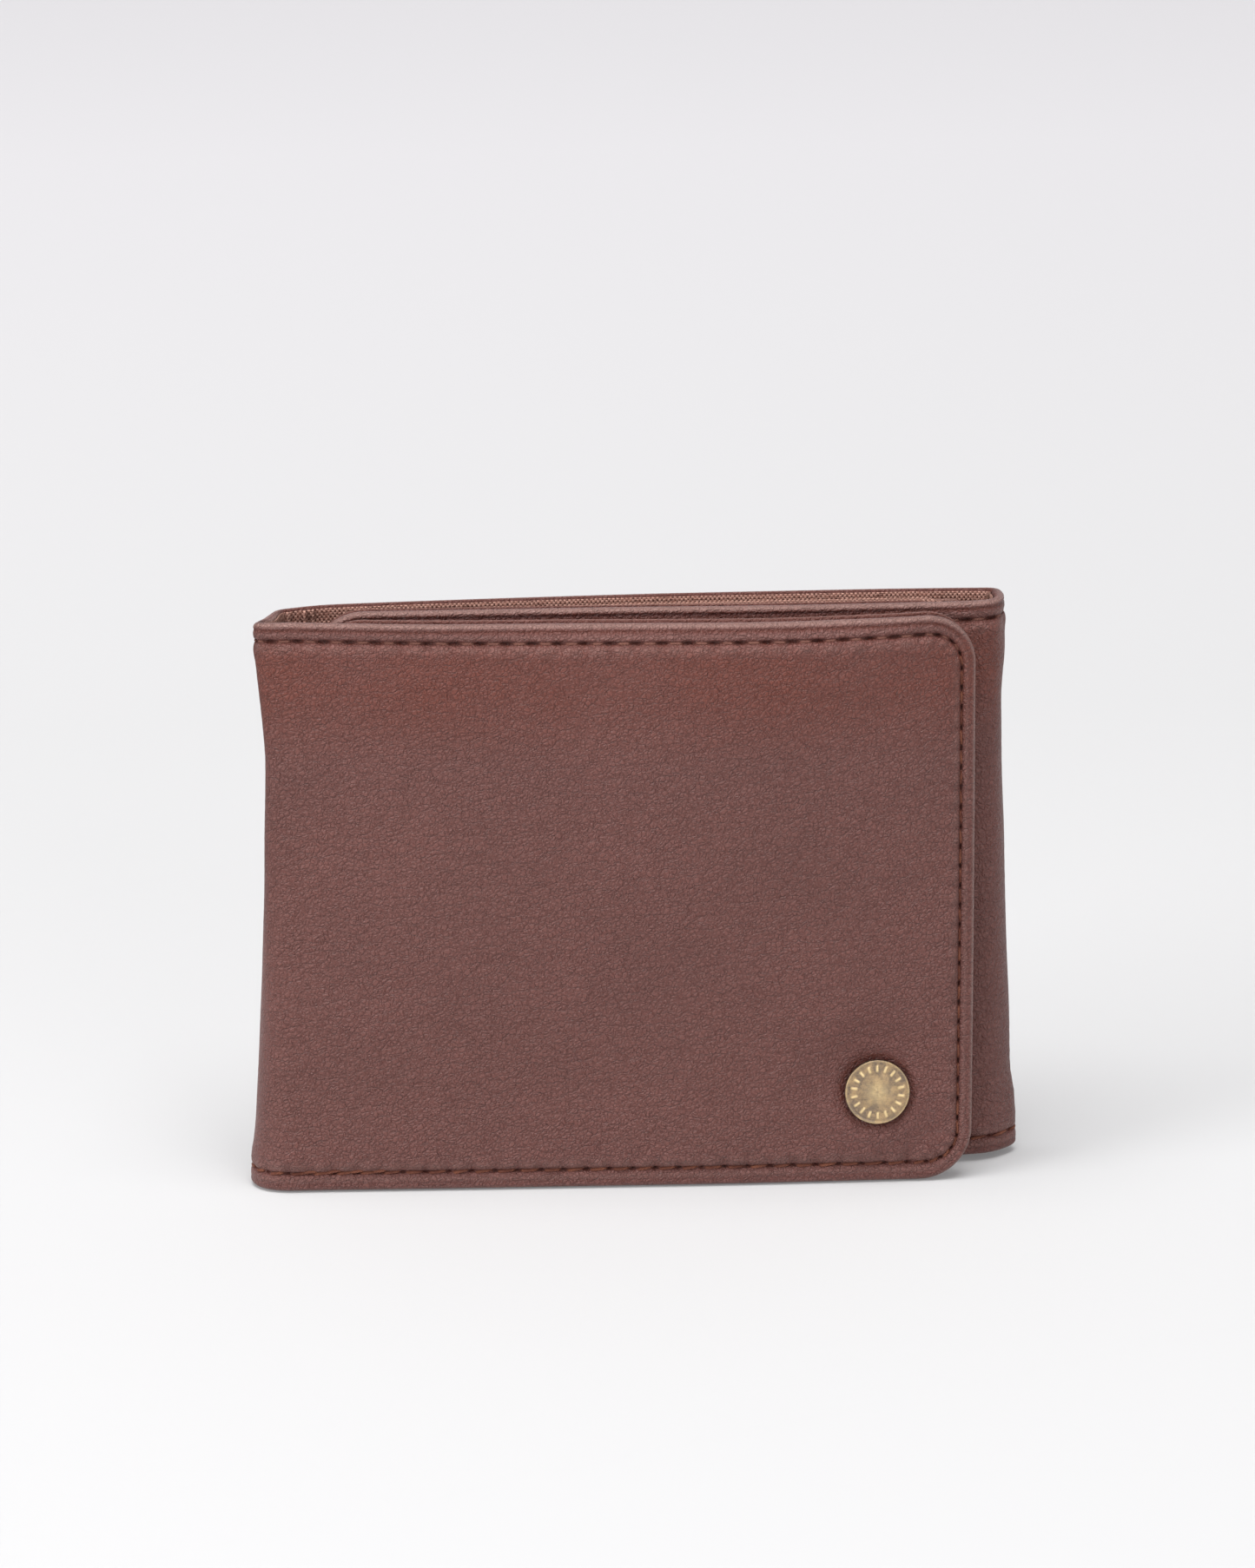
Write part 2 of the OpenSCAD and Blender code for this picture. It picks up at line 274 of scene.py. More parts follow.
def rounded_outline(s0, s1, z0, z1, r, step, notch=0.0):
    """Points, outward normals and running length round a rectangle with round corners,
    counter-clockwise. notch is the radius of a thumb cut in the middle of the top edge."""
    runs = []

    def line(a, b):
        a, b = np.array(a, float), np.array(b, float)
        count = max(1, int(math.dist(a, b) / step))
        t = np.arange(count)[:, None] / count
        along = (b - a) / math.dist(a, b)
        runs.append((a + (b - a) * t, np.tile([along[1], -along[0]], (count, 1))))

    def arc(centre, radius, a0, a1, side=1):
        count = max(6, int(abs(a1 - a0) * radius / step))
        angle = a0 + (a1 - a0) * np.arange(count) / count
        ray = np.column_stack([np.cos(angle), np.sin(angle)])
        runs.append((np.array(centre) + radius * ray, side * ray))

    quarter = math.pi / 2
    line((s0 + r, z0), (s1 - r, z0))
    arc((s1 - r, z0 + r), r, -quarter, 0)
    line((s1, z0 + r), (s1, z1 - r))
    arc((s1 - r, z1 - r), r, 0, quarter)
    if notch:
        fillet, middle = 3.0, (s0 + s1) / 2
        reach = math.sqrt((notch + fillet) ** 2 - fillet**2)
        lean = math.atan2(fillet, reach)
        line((s1 - r, z1), (middle + reach, z1))
        arc((middle + reach, z1 - fillet), fillet, quarter, math.pi - lean)
        arc((middle, z1), notch, -lean, lean - math.pi, side=-1)
        arc((middle - reach, z1 - fillet), fillet, lean, quarter)
        line((middle - reach, z1), (s0 + r, z1))
    else:
        line((s1 - r, z1), (s0 + r, z1))
    arc((s0 + r, z1 - r), r, quarter, 2 * quarter)
    line((s0, z1 - r), (s0, z0 + r))
    arc((s0 + r, z0 + r), r, 2 * quarter, 3 * quarter)
    points, normals = (np.vstack(part) for part in zip(*runs))
    gaps = np.linalg.norm(np.roll(points, -1, 0) - points, axis=1)
    return points, normals, np.concatenate([[0], np.cumsum(gaps)[:-1]]), gaps.sum()


def fill(ring, spacing, extra=None, keep_out=None):
    """Triangles inside a ring of points, over a staggered grid."""
    low, high = ring.min(0), ring.max(0)
    rows = []
    for k, z in enumerate(np.arange(low[1] + spacing / 2, high[1], spacing * 0.87)):
        s = np.arange(low[0] + spacing / 2 + (k % 2) * spacing / 2, high[0], spacing)
        rows.append(np.column_stack([s, np.full(len(s), z)]))
    grid = np.vstack(rows)
    inside = np.zeros(len(grid), bool)
    nearest = np.full(len(grid), FAR_OFF)
    for a, b in zip(ring, np.roll(ring, -1, 0)):
        crosses = (a[1] > grid[:, 1]) != (b[1] > grid[:, 1])
        if crosses.any():
            at = a[0] + (b[0] - a[0]) * (grid[:, 1] - a[1]) / (b[1] - a[1])
            inside ^= crosses & (grid[:, 0] < at)
        nearest = np.minimum(nearest, ((grid - a) ** 2).sum(1))
    grid = grid[inside & (nearest > (0.6 * spacing) ** 2)]
    if extra is not None:
        centre, radius = keep_out
        grid = grid[np.linalg.norm(grid - centre, axis=1) > radius]
        grid = np.vstack([grid, extra])
    points = np.vstack([ring, grid])
    made = delaunay_2d_cdt([Vector(p) for p in points], [], [list(range(len(ring)))], 1, 1e-6)
    kept = np.array([origin[0] for origin in made[3]])
    return grid, [[kept[i] for i in face] for face in made[2]]


def slab(name, outline, face, rear, spacing, material, relief=None, tone=None, extra=None,
         keep_out=None, seam=0.2, shift=None, stretch=None):
    """A closed leaf. face and rear are profiles of (inset from the edge, depth h), which
    start from the same first ring. relief(s, z, inset, run) is added to the face's depth,
    and tone(...) of the same terms gives the colour's light and dark. shift moves face and
    rear in depth, and stretch widens or narrows the border."""
    points, normals, run, _ = outline
    if stretch:
        normals = normals * stretch(points[:, 0], points[:, 1])[:, None]
    count = len(points)
    flat, shade, faces = [], [], []

    def add_points(here, inset, along, depth, on_face):
        """Adds points of one side, lifted and shaded, and returns the first one's number."""
        start = sum(len(part) for part in flat)
        s, z = here.T
        lift = relief(s, z, inset, along) if relief and on_face else 0
        if shift:
            lift = lift + shift(s, z, inset, depth, on_face)
        flat.append(np.column_stack([here, np.full(len(here), depth) + lift]))
        if tone and on_face:
            shade.append(tone(s, z, inset, along))
        else:
            on_seam = (SEAM_NEAR < inset) & (inset < SEAM_FAR)
            shade.append((seam(s) if callable(seam) else seam) * on_seam)
        return start

    def ring(inset, depth, on_face):
        return add_points(points - normals * inset, np.full(count, inset), run, depth, on_face)

    face_rings = [ring(*step, True) for step in face]
    rear_rings = face_rings[:1] + [ring(*step, False) for step in rear[1:]]
    for a, b in zip(face_rings, face_rings[1:]):
        faces.extend(band(a, b, count))
    for a, b in zip(rear_rings, rear_rings[1:]):
        faces.extend(quad[::-1] for quad in band(a, b, count))
    grid, triangles = fill(points - normals * face[-1][0], spacing, extra, keep_out)
    edge = np.full(len(grid), FAR_OFF)
    for p in points[::2]:
        edge = np.minimum(edge, ((grid - p) ** 2).sum(1))
    edge = np.sqrt(edge)
    for depth, start, on_face in ((face[-1][1], face_rings[-1], True),
                                  (rear[-1][1], rear_rings[-1], False)):
        base = add_points(grid, edge, np.zeros(len(grid)), depth, on_face) - count
        for tri in triangles:
            ids = [start + i if i < count else base + i for i in tri]
            faces.append(ids if on_face else ids[::-1])
    flat = np.vstack(flat)
    return face_outward(make_mesh(name, place(flat), faces, material, flat,
                                  np.concatenate(shade)))


def cut_at(obj, name_before, name_after, s_cut):
    """Splits a strip across its length in two closed pieces that meet face to face."""
    rest = obj.copy()
    rest.data = obj.data.copy()
    link(rest)
    x_cut = (LEFT_X + s_cut - S_BACK) * MM
    for half, name, keep_low in ((obj, name_before, True), (rest, name_after, False)):
        half.name = half.data.name = name
        bm = bmesh.new()
        bm.from_mesh(half.data)
        # The flaps cross the same plane, so only the strip's faces near the cut are split.
        layer = bm.verts.layers.float_vector["flat_mm"]
        near = [f for f in bm.faces
                if min(abs(v[layer].x - s_cut) for v in f.verts) < CUT_REACH]
        geom = near + list({e for f in near for e in f.edges} | {v for f in near for v in f.verts})
        bmesh.ops.bisect_plane(bm, geom=geom, plane_co=(x_cut, 0, 0), plane_no=(1, 0, 0),
                               dist=1e-8)
        lost = [v for v in bm.verts if (v[layer].x > s_cut + 1e-4) == keep_low
                and abs(v[layer].x - s_cut) > 1e-4]
        bmesh.ops.delete(bm, geom=lost, context="VERTS")
        rim = [e for e in bm.edges if e.is_boundary]
        bmesh.ops.holes_fill(bm, edges=rim, sides=0)
        for e in rim:
            e.smooth = False
        bmesh.ops.recalc_face_normals(bm, faces=bm.faces)
        bm.to_mesh(half.data)
        bm.free()
    return obj, rest


def bend_front(obj):
    """Bakes the piece's transform into its mesh; the piece is made already bent round the left
    fold.
    """
    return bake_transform(obj)


def bend_rear(obj):
    """Bakes the piece's transform into its mesh; the piece is made already bent round the right
    fold.
    """
    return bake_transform(obj)


# ---- Materials ----
def darker(colour, share):
    return tuple(share * c for c in colour)


class Shader:
    """A Principled material in the making."""

    def __init__(self, name, **fixed):
        self.material = bpy.data.materials.new(name)
        self.material.use_nodes = True
        self.tree = self.material.node_tree
        self.bsdf = self.tree.nodes["Principled BSDF"]
        for key, value in fixed.items():
            self.bsdf.inputs[key.replace("_", " ")].default_value = value

    def add(self, kind, inputs=None, **settings):
        node = self.tree.nodes.new("ShaderNode" + kind)
        for key, value in settings.items():
            setattr(node, key, value)
        for key, value in (inputs or {}).items():
            if isinstance(value, bpy.types.NodeSocket):
                self.tree.links.new(value, node.inputs[key])
            else:
                node.inputs[key].default_value = value
        return node

    def attribute(self, name, output="Vector"):
        return self.add("Attribute", attribute_name=name).outputs[output]

    def scaled(self, vector, factors):
        return self.add("VectorMath", {0: vector, 1: factors}, operation="MULTIPLY").outputs[0]

    def shifted(self, vector, other, amount):
        """vector, pushed about by a colour centred on grey."""
        centred = self.add("VectorMath", {0: other, 1: (0.5,) * 3}, operation="SUBTRACT").outputs[0]
        pushed = self.add("VectorMath", {0: centred, "Scale": amount}, operation="SCALE").outputs[0]
        return self.add("VectorMath", {0: vector, 1: pushed}, operation="ADD").outputs[0]

    def noise(self, vector, scale, detail=2.0, rough=0.5, output="Fac"):
        return self.add("TexNoise", {"Vector": vector, "Scale": scale, "Detail": detail,
                                     "Roughness": rough}).outputs[output]

    def math(self, operation, a, b=0.0):
        return self.add("Math", {0: a, 1: b}, operation=operation).outputs[0]

    def plus(self, a, b):
        return self.math("ADD", a, b)

    def times(self, a, b):
        return self.math("MULTIPLY", a, b)

    def span(self, value, low, high, to_low=0.0, to_high=1.0):
        """value, with low..high stretched to to_low..to_high and held at the ends."""
        return self.add("MapRange", {"Value": value, "From Min": low, "From Max": high,
                                     "To Min": to_low, "To Max": to_high}).outputs["Result"]

    def mix(self, factor, a, b):
        """Colour a where the factor is 0, and b where it is 1. Plain colours have no alpha."""
        node = self.add("Mix", data_type="RGBA")
        sockets = {s.identifier: s for s in node.inputs}
        for key, value in (("Factor_Float", factor), ("A_Color", a), ("B_Color", b)):
            if isinstance(value, bpy.types.NodeSocket):
                self.tree.links.new(value, sockets[key])
            else:
                sockets[key].default_value = value if key == "Factor_Float" else (*value, 1)
        return next(s for s in node.outputs if s.identifier == "Result_Color")

    def cells(self, vector, scale, reach):
        """0 on the borders of uneven cells, and 1 from that far inside them."""
        node = self.add("TexVoronoi", {"Vector": vector, "Scale": scale, "Randomness": 1.0},
                        feature="DISTANCE_TO_EDGE")
        return self.span(node.outputs["Distance"], 0.0, reach)

    def bump(self, height, depth, normal=None):
        """A bump whose height of 1 stands depth millimetres proud."""
        inputs = {"Height": height, "Distance": depth * MM, "Strength": 1.0}
        if normal is not None:
            inputs["Normal"] = normal
        return self.add("Bump", inputs).outputs[0]

    def finish(self, colour, roughness, normal=None):
        self.tree.links.new(colour, self.bsdf.inputs["Base Color"])
        self.tree.links.new(roughness, self.bsdf.inputs["Roughness"])
        if normal is not None:
            self.tree.links.new(normal, self.bsdf.inputs["Normal"])
        return self.material


def leather(name, body, dark, wear_and_highlight, warm, grain=1.0, gloss=0.46):
    """Soft coated leather: fine pebbled grain, drawn-out creases, mottled colour, a painted warmer
    band below the top where less sheen falls, wear with painted highlight on the rim, painted
    shade in grooves and creases, and darker seams."""
    sh = Shader(name, Specular_IOR_Level=0.42, Sheen_Weight=0.04, Sheen_Roughness=0.5,
                Coat_Weight=0.05, Coat_Roughness=0.45)
    flat = sh.attribute("flat_mm")
    tone = sh.attribute("tone", "Fac")
    wander = sh.noise(flat, 0.9, 2.0, output="Color")
    pebble = sh.cells(sh.shifted(flat, wander, 0.9), 1.5, 0.22)
    crease = sh.cells(sh.scaled(sh.shifted(flat, wander, 1.6), (0.42, 1.0, 1.0)), 0.62, 0.1)
    pore = sh.noise(flat, 4.5, 3.0, 0.6)
    lump = sh.noise(flat, 0.16, 3.0, 0.55)
    cloud = sh.noise(flat, 0.045, 4.0, 0.6)
    height = sh.plus(sh.times(pebble, 0.5), sh.times(pore, 0.5))
    height = sh.plus(height, sh.times(crease, 0.45))
    normal = sh.bump(lump, 0.5 * grain)
    normal = sh.bump(height, 0.25 * grain, normal)
    colour = sh.mix(sh.span(cloud, 0.3, 0.7), body, darker(body, 0.86))
    high = sh.add("SeparateXYZ", {0: flat}).outputs[1]
    # Painted: the warmer band below the top stands in for the grey sheen that falls less there.
    less_sheen_band = sh.times(sh.span(high, 67.0, 78.0), sh.span(high, 86.5, 83.0))
    less_sheen_band = sh.times(less_sheen_band, sh.span(cloud, 0.35, 0.6, 0.6, 1.0))
    colour = sh.mix(less_sheen_band, colour, warm)
    colour = sh.mix(sh.span(pebble, 0.0, 1.0, 0.34, 0.0), colour, dark)
    colour = sh.mix(sh.span(crease, 0.0, 1.0, 0.2, 0.0), colour, dark)
    # Negative tone is painted shade in grooves and creases, at the foot and round the rivet, and
    # darkens seams. Positive tone is wear with a painted highlight.
    colour = sh.mix(sh.span(tone, 0.0, -0.4), colour, darker(warm, 0.72))
    colour = sh.mix(sh.span(tone, -0.4, -1.0), colour, dark)
    colour = sh.mix(sh.span(tone, 0.0, 1.0), colour, wear_and_highlight)
    rough = sh.plus(sh.span(pore, 0.3, 0.7, gloss - 0.05, gloss + 0.07),
                    sh.span(cloud, 0.3, 0.7, -0.03, 0.03))
    rough = sh.plus(rough, sh.span(tone, 0.0, 1.0, 0.0, -0.12))
    return sh.finish(colour, rough, normal)


def woven(name, warp, weft, pitch=0.33):
    """Woven lining: light and dark threads over and under each other, slubby, fuzzy and
    unevenly dyed, with painted highlight and shade from the tone."""
    sh = Shader(name, Specular_IOR_Level=0.25, Sheen_Weight=0.15, Sheen_Roughness=0.4,
                Sheen_Tint=(0.9, 0.6, 0.45, 1))
    flat = sh.attribute("flat_mm")
    flat = sh.shifted(flat, sh.noise(flat, 2.2, 3.0, output="Color"), 0.34)
    split = sh.add("SeparateXYZ", {0: flat})
    turn = math.pi / pitch
    across = sh.math("SINE", sh.times(split.outputs[0], turn))
    along = sh.math("SINE", sh.times(split.outputs[1], 0.8 * turn))
    check = sh.times(across, along)
    fibre = sh.noise(flat, 9.0, 3.0, 0.6)
    slub = sh.noise(sh.scaled(flat, (0.6, 2.4, 1.0)), 1.1, 3.0, 0.6)
    fleck = sh.noise(flat, 1.9, 3.0, 0.6)
    rust = tuple(0.5 * (a + b) * c for a, b, c in zip(warp, weft, (1.0, 0.8, 0.74)))
    colour = sh.mix(sh.span(check, -0.45, 0.45), weft, warp)
    colour = sh.mix(sh.span(fleck, 0.48, 0.62, 0.0, 0.6), colour, rust)
    colour = sh.mix(sh.span(slub, 0.56, 0.66, 0.0, 0.7), colour, weft)
    tone = sh.attribute("tone", "Fac")
    # Positive tone pales towards the warp. This is a painted highlight on crease crests, and also
    # the pale cut edge and loose ends. Negative tone is painted shade in the crease valleys.
    colour = sh.mix(sh.span(tone, 0.0, 1.0, 0.0, 0.7), colour, warp)
    colour = sh.mix(sh.span(tone, 0.0, -1.0, 0.0, 0.9), colour, darker(weft, 0.5))
    height = sh.plus(sh.math("ABSOLUTE", check), sh.times(fibre, 0.5))
    height = sh.plus(height, sh.times(slub, 0.8))
    return sh.finish(colour, sh.span(fibre, 0.3, 0.7, 0.65, 0.88), sh.bump(height, 0.08))


def twisted_thread(name, light, dark, faded):
    """Waxed two-ply thread, paler and duller along the top. The twist follows the strip."""
    sh = Shader(name, Specular_IOR_Level=0.25)
    flat = sh.attribute("flat_mm")
    along = sh.add("TexWave", {"Vector": sh.scaled(flat, (1.0, 1.6, 1.6)), "Scale": 1.7,
                               "Distortion": 0.6}, bands_direction="DIAGONAL").outputs["Fac"]
    fuzz = sh.noise(flat, 11.0, 2.0)
    age = sh.noise(flat, 0.35, 2.0)
    colour = sh.mix(along, dark, light)
    colour = sh.mix(sh.span(age, 0.4, 0.62), colour, dark)
    colour = sh.mix(sh.span(sh.attribute("tone", "Fac"), 0.0, 1.0, 0.0, 0.8), colour, faded)
    height = sh.plus(along, sh.times(fuzz, 0.4))
    return sh.finish(colour, sh.span(fuzz, 0.3, 0.7, 0.5, 0.7), sh.bump(height, 0.05))


def pressed_board(name, body, dark):
    """Grey-brown fibre board, hidden between the layers."""
    sh = Shader(name, Specular_IOR_Level=0.3)
    flat = sh.attribute("flat_mm")
    fibre = sh.noise(sh.scaled(flat, (1.0, 3.0, 1.0)), 1.4, 5.0, 0.7)
    colour = sh.mix(sh.span(fibre, 0.35, 0.65), dark, body)
    return sh.finish(colour, sh.span(fibre, 0.3, 0.7, 0.8, 0.95), sh.bump(fibre, 0.04))


def antique_brass(name):
    """Aged brass: brushed golden metal under uneven brown patina with dark specks, brighter
    where rubbed, with a painted highlight on the rim and painted shade on the side.
    """
    sh = Shader(name, Metallic=0.85, Specular_IOR_Level=0.5)
    flat = sh.attribute("flat_mm")
    tone = sh.attribute("tone", "Fac")
    brushed = sh.noise(sh.scaled(flat, (0.5, 6.0, 1.0)), 1.6, 3.0, 0.6)
    stain = sh.noise(flat, 0.75, 5.0, 0.65)
    speck = sh.noise(flat, 5.0, 3.0, 0.6)
    gold, patina, dirt_and_shade = (0.46, 0.32, 0.18), (0.195, 0.148, 0.115), (0.05, 0.032, 0.025)
    colour = sh.mix(sh.span(stain, 0.42, 0.62), patina, gold)
    colour = sh.mix(sh.span(brushed, 0.4, 0.7, 0.0, 0.35), colour, gold)
    colour = sh.mix(sh.span(speck, 0.56, 0.7, 0.0, 0.5), colour, dirt_and_shade)
    # Negative tone is painted shade on the cap's side and dark patina in its ring. Positive tone
    # brightens the ticks and the rubbed centre, and paints a highlight on the rim.
    colour = sh.mix(sh.span(tone, 0.0, -1.0), colour, dirt_and_shade)
    colour = sh.mix(sh.span(tone, 0.0, 1.0), colour, (0.82, 0.62, 0.33))
    rough = sh.plus(sh.span(stain, 0.3, 0.7, 0.42, 0.28), sh.span(speck, 0.4, 0.7, 0.0, 0.12))
    height = sh.plus(brushed, sh.times(speck, 0.5))
    return sh.finish(colour, rough, sh.bump(height, 0.015))


def clear_film(name):
    """The identity window's vinyl: clear, faintly wavy and scuffed."""
    sh = Shader(name, Transmission_Weight=0.92, IOR=1.45, Specular_IOR_Level=0.5)
    flat = sh.attribute("flat_mm")
    wave = sh.noise(flat, 0.09, 2.0)
    scuff = sh.noise(sh.scaled(flat, (0.4, 2.5, 1.0)), 1.2, 4.0, 0.7)
    colour = sh.mix(sh.span(scuff, 0.5, 0.75, 0.0, 0.5), (0.93, 0.92, 0.90), (0.80, 0.78, 0.75))
    normal = sh.bump(scuff, 0.01, sh.bump(wave, 0.25))
    return sh.finish(colour, sh.span(scuff, 0.45, 0.75, 0.06, 0.24), normal)


def backdrop(name):
    """Pale seamless paper that glows as painted light: a little beside the wallet, which softens
    its shadows, and more further back, where the lamps fall off.
    """
    sh = Shader(name, Specular_IOR_Level=0.05, Emission_Strength=1.0)
    at = sh.add("TexCoord").outputs["Object"]
    depth = sh.add("SeparateXYZ", {0: at}).outputs[1]
    fleck = sh.noise(at, 1.5, 2.0)
    colour = sh.mix(fleck, (0.488, 0.488, 0.490), (0.494, 0.494, 0.496))
    glow = sh.mix(sh.span(depth, 0.24, 0.68), (0.125, 0.124, 0.126), (0.25, 0.238, 0.255))
    sh.tree.links.new(glow, sh.bsdf.inputs["Emission Color"])
    return sh.finish(colour, sh.span(fleck, 0.0, 1.0, 0.85, 0.9))


OUTER = leather("outer_leather", (0.149, 0.0515, 0.042), (0.065, 0.011, 0.007),
                (0.25, 0.138, 0.117), (0.148, 0.035, 0.0215))
INNER = leather("inner_leather", (0.165, 0.062, 0.045), (0.05, 0.013, 0.010),
                (0.25, 0.125, 0.1), (0.17, 0.045, 0.03), grain=0.8, gloss=0.5)
LINING = woven("lining", (0.53, 0.30, 0.24), (0.07, 0.02, 0.013))
THREAD = twisted_thread("thread", (0.25, 0.09, 0.048), (0.11, 0.032, 0.02),
                        (0.17, 0.072, 0.055))
BOARD = pressed_board("stiffener", (0.30, 0.25, 0.20), (0.18, 0.14, 0.11))
BRASS = antique_brass("antique_brass")
FILM = clear_film("window_film")


# ---- The outer leather ----
SHELL = rounded_outline(0, S_END, 0, HEIGHT, CORNER_R, 0.33)


def on_free_side(s):
    """1 on the front flap's free edge, 0 past its round corners."""
    return fall(s, 0, CORNER_R)


def edge_stretch(s, z):
    """The border is narrower up the front flap's free side, and wider along the foot."""
    foot = fall(z, 0, CORNER_R) * (1 - on_free_side(s))
    return 1 - 0.18 * on_free_side(s) + 0.07 * foot


def stitch_pitch(s, z):
    """Stitches are longest along the top, and shortest up the free side."""
    return 3.45 + 0.37 * smooth(z, HEIGHT - CORNER_R, HEIGHT) - 0.4 * on_free_side(s)


# How many stitches there are up to each point of the outline, round to the first again.
RUNS = np.append(SHELL[2], SHELL[3])
COUNTS = np.append(0, np.cumsum(np.diff(RUNS) / stitch_pitch(SHELL[0][:, 0], SHELL[0][:, 1])))
STITCHES = round(COUNTS[-1])
COUNTS *= STITCHES / COUNTS[-1]

# Inset of the crease along the middle of the top border
BORDER_CREASE = 0.98
# The face from the middle of the rolled edge: border, stitch groove and cushion.
SHELL_FACE = [(0.0, 1.0), (0.03, 0.7), (0.12, 0.42), (0.28, 0.2), (0.48, 0.07), (0.7, 0.03),
              (0.88, 0.04), (1.02, 0.05), (1.18, 0.03), (1.45, -0.02), (1.8, -0.03), (2.1, 0.02),
              (2.3, 0.08), (2.46, 0.2), (2.58, 0.33), (2.7, 0.38), (2.82, 0.33), (2.94, 0.18),
              (3.08, 0.0), (3.3, -0.16), (3.6, -0.3), (4.1, -0.4), (4.9, -0.4), (6.0, -0.33)]
# The rear from the same ring: seam, turned edge, then the step down to the single leather.
SHELL_REAR = [(0.0, 1.0), (0.03, 1.3), (0.12, 1.56), (0.3, 1.78), (0.55, 1.92), (0.9, 1.99),
              (1.5, 2.0), (2.2, 1.99), (2.45, 1.9), (2.6, 1.7), (2.7, 1.3), (2.8, 1.08),
              (3.1, 1.0), (4.5, 1.0), (6.0, 1.0)]


def needle_pit(z, inset, run):
    """1 in the needle holes between the stitches, and how far each place is from one stitch
    to the next. The holes are longest along the top."""
    phase = np.interp(run, RUNS, COUNTS) % 1
    half = 0.12 + 0.12 * smooth(z, HEIGHT - 8, HEIGHT - 1)
    return hump(phase, 0.5, half, power=4) * (inset < SHELL_FACE[-1][0] + 0.1), phase


def stitch_groove(z, inset):
    """1 near the top edge, and 1 in the groove that the stitches lie in."""
    top = smooth(z, HEIGHT - 4.5, HEIGHT - 2.6)
    return top, hump(inset, STITCH_INSET, 0.2 + 0.08 * top)


def rim_thinness(s, z):
    """1 along the back panel's top rim, which is rolled thinner than the flaps' rims."""
    along = smooth(s, S_LEFT + 10, S_BACK - 1) * fall(s, S_RIGHT - 3, S_RIGHT + 5)
    return along * smooth(z, HEIGHT - 6, HEIGHT - 3)


def shell_shift(s, z, inset, depth, on_face):
    """The turned edge's rear comes forward where the rim is thinner."""
    if on_face:
        return 0
    return -0.5 * rim_thinness(s, z) * max(depth - 1.0, 0)


def shell_relief(s, z, inset, run):
    """What the profile leaves out: needle pits, puckers, the cushion's fade, and the dish
    round the rivet."""
    on_ring = inset < SHELL_FACE[-1][0] + 1e-6
    pit, phase = needle_pit(z, inset, run)
    top, groove = stitch_groove(z, inset)
    depth = 0.55 * pit * groove + 0.09 * top * hump(inset, BORDER_CREASE, 0.2)
    pucker = -0.15 * np.cos(math.tau * (phase + 0.04 * ripple(s, z, 9, 3))) * hump(inset, 3.5, 0.6)
    uneven = 0.13 * ripple(s, z, 3.2, 11) * hump(inset, 3.9, 1.1)
    at_fold = smooth(s, S_LEFT, S_LEFT + 4) * fall(s, S_BACK - 4, S_BACK)
    at_fold += smooth(s, S_RIGHT, S_RIGHT + 3) * fall(s, S_INNER - 3, S_INNER)
    firm = 0.33 * at_fold * smooth(inset, 2.8, 3.6) * fall(inset, 6.0, 17.0)
    fade = np.where(on_ring, 0, 0.33 * smooth(inset, 6.0, 17.0))
    away = from_rivet(s, z) - RIVET_R
    dish = 0.3 * hump(away, 0.2, 0.9) * (away > -2)
    puff = -0.1 * hump(away, 2.4, 1.2)
    pulled = 0.25 * (away < 0)
    soft = 0.07 * ripple(s, z, 15, 21) * smooth(inset, 5, 12)
    return np.where(on_ring, depth + pucker + uneven, 0) + fade + firm + dish + puff + pulled + soft


def shell_tone(s, z, inset, run):
    """Painted shade in the stitch groove and needle holes, the border's crease, the foot, round
    the rivet and on the inner flap's covered edge. The roll and border are lighter with wear and
    a painted highlight, and the cushion has a painted highlight.
    """
    pit, _ = needle_pit(z, inset, run)
    top, groove = stitch_groove(z, inset)
    # Painted shade: the stitch groove is darkened, most of all in the needle holes.
    thread = -(0.3 + 0.1 * top + (0.65 - 0.1 * top) * pit) * groove
    # Painted shade along the crease inside the border, stronger along the top.
    crease = -(0.08 + 0.42 * top) * hump(inset, BORDER_CREASE, 0.25)
    # The border face and the roll are lighter from wear and a painted highlight. The roll is
    # brightest along the top.
    border = 0.16 * hump(inset, 1.7, 0.4)
    roll = (0.6 + 0.25 * top) * hump(inset, 0.2, 0.3)
    # Painted highlight on the cushion below the stitches, less in the needle holes.
    puff = 0.2 * hump(inset, 3.6, 0.55) * (1 - 0.6 * pit)
    # Painted shade on the inner flap's edge, where the front flap covers it.
    covered_shade = -0.6 * smooth(s, S_INNER + 10, S_INNER + 22) * smooth(z, HEIGHT - 5, HEIGHT - 3)
    covered_shade = covered_shade * smooth(inset, 0.35, 0.9)
    # Painted shade along the foot.
    foot_shade = -0.5 * hump(inset, 0, 0.45) * (z < 1)
    away = from_rivet(s, z) - RIVET_R
    # Painted shadow round the rivet's cap.
    rivet_shadow = -hump(away, 0.25, 0.42)
    return thread + crease + border + roll + puff + covered_shade + foot_shade + rivet_shadow


def shell_seam(s):
    """The rear of the roll is dark red, but lighter at the left fold's mouth, from wear and a
    painted highlight.
    """
    return -0.6 + 1.3 * smooth(s, S_LEFT - 2, S_LEFT + 4) * fall(s, S_BACK - 5, S_BACK + 1)


def rivet_rings():
    """Finer points in the leather round the rivet."""
    rings = []
    for k, radius in enumerate(np.arange(RIVET_R - 0.8, RIVET_R + 3.6, 0.45)):
        angle = np.arange(72) * math.tau / 72 + k * 0.04
        rings.append(np.column_stack([RIVET_S + radius * np.cos(angle),
                                      RIVET_Z + radius * np.sin(angle)]))
    return np.vstack(rings)


